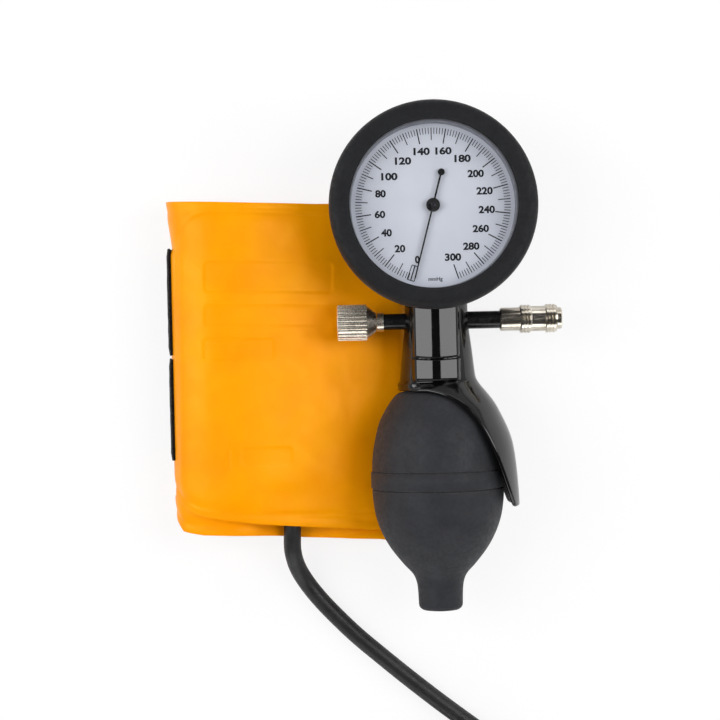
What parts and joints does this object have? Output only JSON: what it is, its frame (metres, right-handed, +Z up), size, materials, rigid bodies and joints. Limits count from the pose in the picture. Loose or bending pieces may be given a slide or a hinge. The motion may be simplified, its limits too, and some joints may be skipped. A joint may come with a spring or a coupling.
{
  "type": "aneroid sphygmomanometer",
  "caption": "Palm-style aneroid blood pressure gauge with squeeze bulb, release valve and hose coupling, lying on its rolled arm cuff.",
  "frame": {"origin": "centre of the object's footprint on the table, without the tube and its coil", "axes": "+Z up from the table, +Y along the hand piece from bulb to gauge, +X towards the coupling"},
  "size_m": [0.1477, 0.3235, 0.049],
  "materials": {
    "ring_rubber": "matte anthracite rubber",
    "bulb_rubber": "matte black rubber",
    "case_black": "satin black",
    "window": "clear",
    "spacer_grey": "satin",
    "dial_white": "matte white",
    "pointer_black": "satin black",
    "brass": "turned",
    "bronze": "rolled sheet",
    "steel": "polished",
    "nickel": "nickel plated",
    "grip_black": "glossy black",
    "stub_black": "satin black",
    "seal_rubber": "black rubber",
    "cuff_vinyl": "soft glossy orange vinyl",
    "strip_black": "hook and loop",
    "tube_rubber": "matte black rubber"
  },
  "bodies": {
    "hand_piece_and_cuff": {"shock_ring": "ring_rubber", "gauge_case": "case_black", "lens": "window", "lens_spacer": "spacer_grey", "dial_plate": "dial_white", "hairspring": "steel", "movement_plate": "brass", "movement_bridge": "brass", "movement_pillars": "brass", "movement_posts": "brass", "movement_screws": "steel", "rocker_lugs": "brass", "capsule": "bronze", "capsule_stud": "brass", "feed_pipe": "brass", "gauge_stem": "brass", "gauge_saddle": "grip_black", "grip_body": "grip_black", "air_manifold": "brass", "bulb_nozzle": "nickel", "bulb": "bulb_rubber", "intake_body": "nickel", "intake_filter": "nickel", "valve_stub": "stub_black", "valve_collar": "nickel", "valve_seal": "seal_rubber", "hose_stub": "stub_black", "coupling_body": "nickel", "coupling_spring": "steel", "coupling_balls": "steel", "coupling_seal": "seal_rubber", "cuff": "cuff_vinyl", "loop_strips": "strip_black", "hook_strips": "strip_black", "tube_port": "tube_rubber", "cuff_tube": "tube_rubber", "tube_coil": "tube_rubber", "coil_tie": "strip_black", "tube_plug": "nickel"},
    "pointer_set": {"pointer": "pointer_black", "pointer_hub": "pointer_black", "pinion_arbor": "brass"},
    "sector": {"sector_gear": "brass"},
    "rocker": {"rocker_lever": "steel"},
    "pusher": {"capsule_pusher": "steel"},
    "release_needle": {"valve_needle": "steel"},
    "release_knob": {"valve_knob": "nickel"},
    "unlock_sleeve": {"coupling_sleeve": "nickel"},
    "outlet_valve": {"outlet_flap": "seal_rubber"},
    "intake_valve": {"intake_disc": "seal_rubber"}
  },
  "joints": [
    {"name": "pusher_lift", "type": "slide", "parent": "hand_piece_and_cuff", "child": "pusher", "axis": [0, 0, 1], "range_m": [0, 0.002], "stiffness_N_per_m": 40, "springref_m": -0.001, "deforming": ["capsule"]},
    {"name": "rocker_swing", "type": "hinge", "parent": "hand_piece_and_cuff", "child": "rocker", "pos_m": [0.0262, 0.06135, 0.0246], "axis": [-1, 0, 0], "range_deg": [0, 18]},
    {"name": "sector_turn", "type": "hinge", "parent": "hand_piece_and_cuff", "child": "sector", "pos_m": [0.03928, 0.0623, 0.029], "axis": [0, 0, 1], "range_deg": [0, 36]},
    {"name": "pointer_turn", "type": "hinge", "parent": "hand_piece_and_cuff", "child": "pointer_set", "pos_m": [0.0262, 0.05495, 0.037], "axis": [0, 0, -1], "range_deg": [0, 324]},
    {"name": "release_travel", "type": "slide", "parent": "hand_piece_and_cuff", "child": "release_needle", "axis": [-1, 0, 0], "range_m": [0, 0.00075]},
    {"name": "release_turn", "type": "hinge", "parent": "release_needle", "child": "release_knob", "pos_m": [-0.003, 0.01345, 0.0245], "axis": [-1, 0, 0], "range_deg": [0, 540]},
    {"name": "sleeve_slide", "type": "slide", "parent": "hand_piece_and_cuff", "child": "unlock_sleeve", "axis": [-1, 0, 0], "range_m": [0, 0.0025], "stiffness_N_per_m": 600, "springref_m": -0.001},
    {"name": "outlet_lift", "type": "slide", "parent": "hand_piece_and_cuff", "child": "outlet_valve", "axis": [0, 1, 0], "range_m": [0, 0.0006], "stiffness_N_per_m": 2, "springref_m": -0.0005},
    {"name": "intake_lift", "type": "slide", "parent": "hand_piece_and_cuff", "child": "intake_valve", "axis": [0, 1, 0], "range_m": [0, 0.0008], "stiffness_N_per_m": 2, "springref_m": -0.0005}
  ],
  "couplings": [
    {"joint": "rocker_swing", "follows": "pusher_lift", "rad_per_m": 157.07},
    {"joint": "sector_turn", "follows": "pusher_lift", "rad_per_m": 314.15},
    {"joint": "pointer_turn", "follows": "pusher_lift", "rad_per_m": 2827.4},
    {"joint": "release_turn", "follows": "release_travel", "rad_per_m": 12566}
  ]
}
